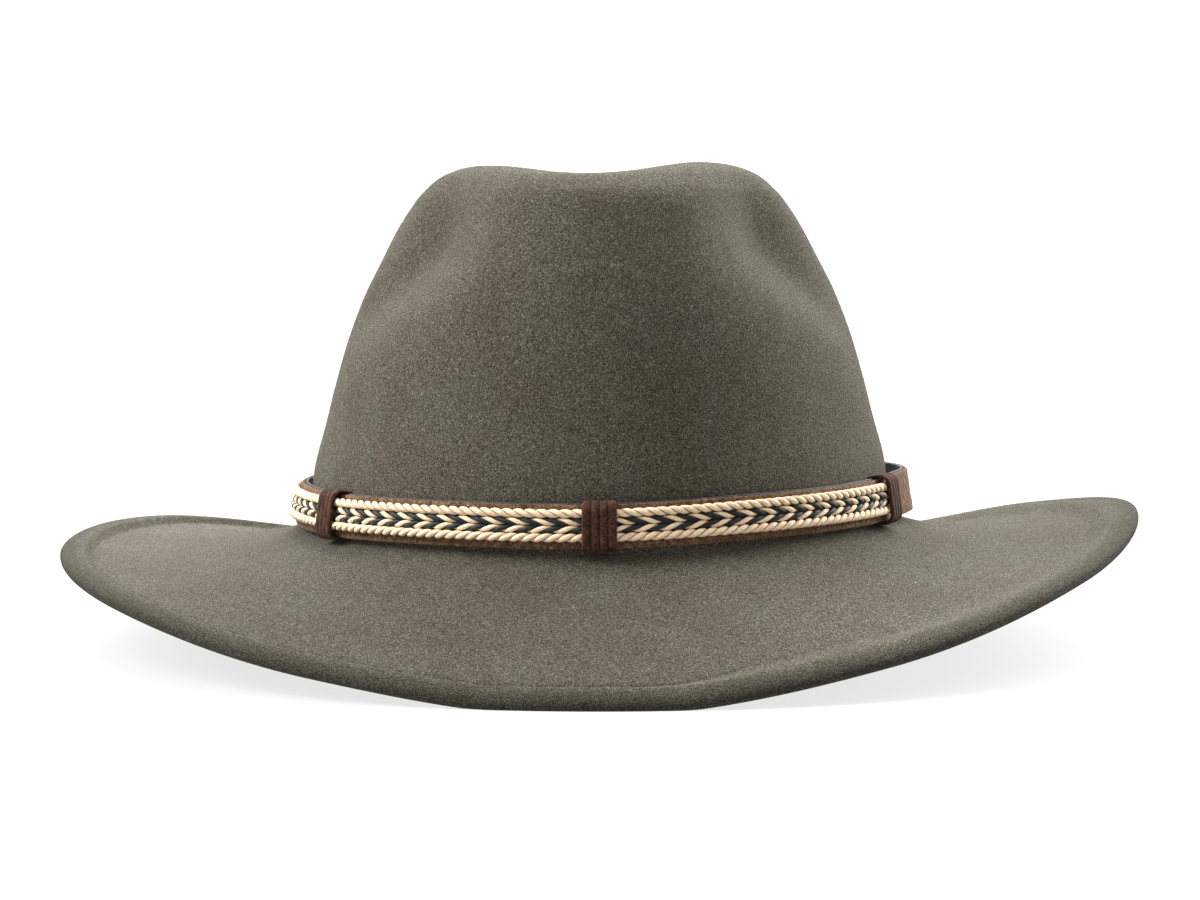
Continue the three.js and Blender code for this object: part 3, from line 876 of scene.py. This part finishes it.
# Cords from the bottom up: name, solid it stands for, slot, radius, pitch, lay, phase and plies
CORDS = (
    ("twist_bottom", "cord_bottom", "cream_cord", OUTER_RADIUS, OUTER_PITCH, 1, 0.4, [CREAM]),
    ("twist_lower", "braid_lower", "two_tone_cord", INNER_RADIUS, INNER_PITCH, 1, 0, [CREAM, DARK]),
    ("twist_upper", "braid_upper", "two_tone_cord", INNER_RADIUS, INNER_PITCH, -1, 0, [CREAM, DARK]),
    ("twist_top", "cord_top", "cream_cord", OUTER_RADIUS, OUTER_PITCH, -1, 1.1, [CREAM]),
)
stack = 2 * (OUTER_RADIUS + INNER_RADIUS) * 2 + 3 * CORD_GAP
low = (STRAP_HEIGHT - stack) / 2 + CORDS_RAISED
for name, node, slot, radius, pitch, lay, phase, materials in CORDS:
    stand_for(twisted_cord(name, radius, low + radius, pitch, lay, phase, materials), node)
    low += 2 * radius + CORD_GAP

for seed, (side, angle) in enumerate(WRAP_ANGLES.items(), start=LACE_FIRST_SEED):
    stand_for(lace_wrap(f"lace_{side}", angle, seed), f"wrap_{side}")


# Stage, light and camera


def make_floor():
    """A wide floor, in metres, that glows a little so that it reads as white as a studio's."""
    mesh = bpy.data.meshes.new("floor")
    corners = [(x * FLOOR_REACH, y * FLOOR_REACH, 0) for x, y in ((-1, -1), (1, -1), (1, 1), (-1, 1))]
    mesh.from_pydata(corners, [], [(0, 1, 2, 3)])
    paint = Paint("floor", 0.9, Emission_Color=(1, 1, 1, 1), Emission_Strength=0.76)
    mottled = paint.spot(3, detail=1)
    paint.colour(paint.ramp(mottled, (0.3, (0.09, 0.09, 0.09)), (0.7, (0.11, 0.11, 0.11))))
    mesh.materials.append(paint.material)
    floor = bpy.data.objects.new("floor", mesh)
    bpy.context.scene.collection.objects.link(floor)


def add_light(name, side, back, up, angle, strength):
    """A wide distant light like a soft box."""
    data = bpy.data.lights.new(name, "SUN")
    data.angle = math.radians(angle)
    data.energy = strength
    light = bpy.data.objects.new(name, data)
    tilt = math.atan2(math.hypot(side, back), up)
    light.rotation_euler = (tilt, 0, math.atan2(-back, -side) - math.pi / 2)
    bpy.context.scene.collection.objects.link(light)


def make_world():
    world = bpy.data.worlds.new("studio")
    world.use_nodes = True
    background = world.node_tree.nodes["Background"]
    background.inputs["Color"].default_value = (1, 1, 1, 1)
    background.inputs["Strength"].default_value = WORLD_STRENGTH
    bpy.context.scene.world = world
    bpy.context.scene.view_settings.view_transform = "Standard"


def add_camera():
    data = bpy.data.cameras.new("camera")
    data.sensor_width = SENSOR_WIDTH
    data.lens = SENSOR_WIDTH * (FOCAL_PIXELS / PHOTO_PIXELS)
    data.clip_end = CLIP_END
    camera = bpy.data.objects.new("camera", data)
    camera.location = (CAMERA_SIDE * METRES, -CAMERA_DISTANCE * METRES, CAMERA_HEIGHT * METRES)
    camera.rotation_euler = (math.radians(90 - CAMERA_PITCH), 0, 0)
    bpy.context.scene.collection.objects.link(camera)
    bpy.context.scene.camera = camera


make_floor()
make_world()
for name, side, back, up, angle, strength in LIGHTS:
    add_light(name, side, back, up, angle, strength)
add_camera()

bpy.context.view_layer.update()
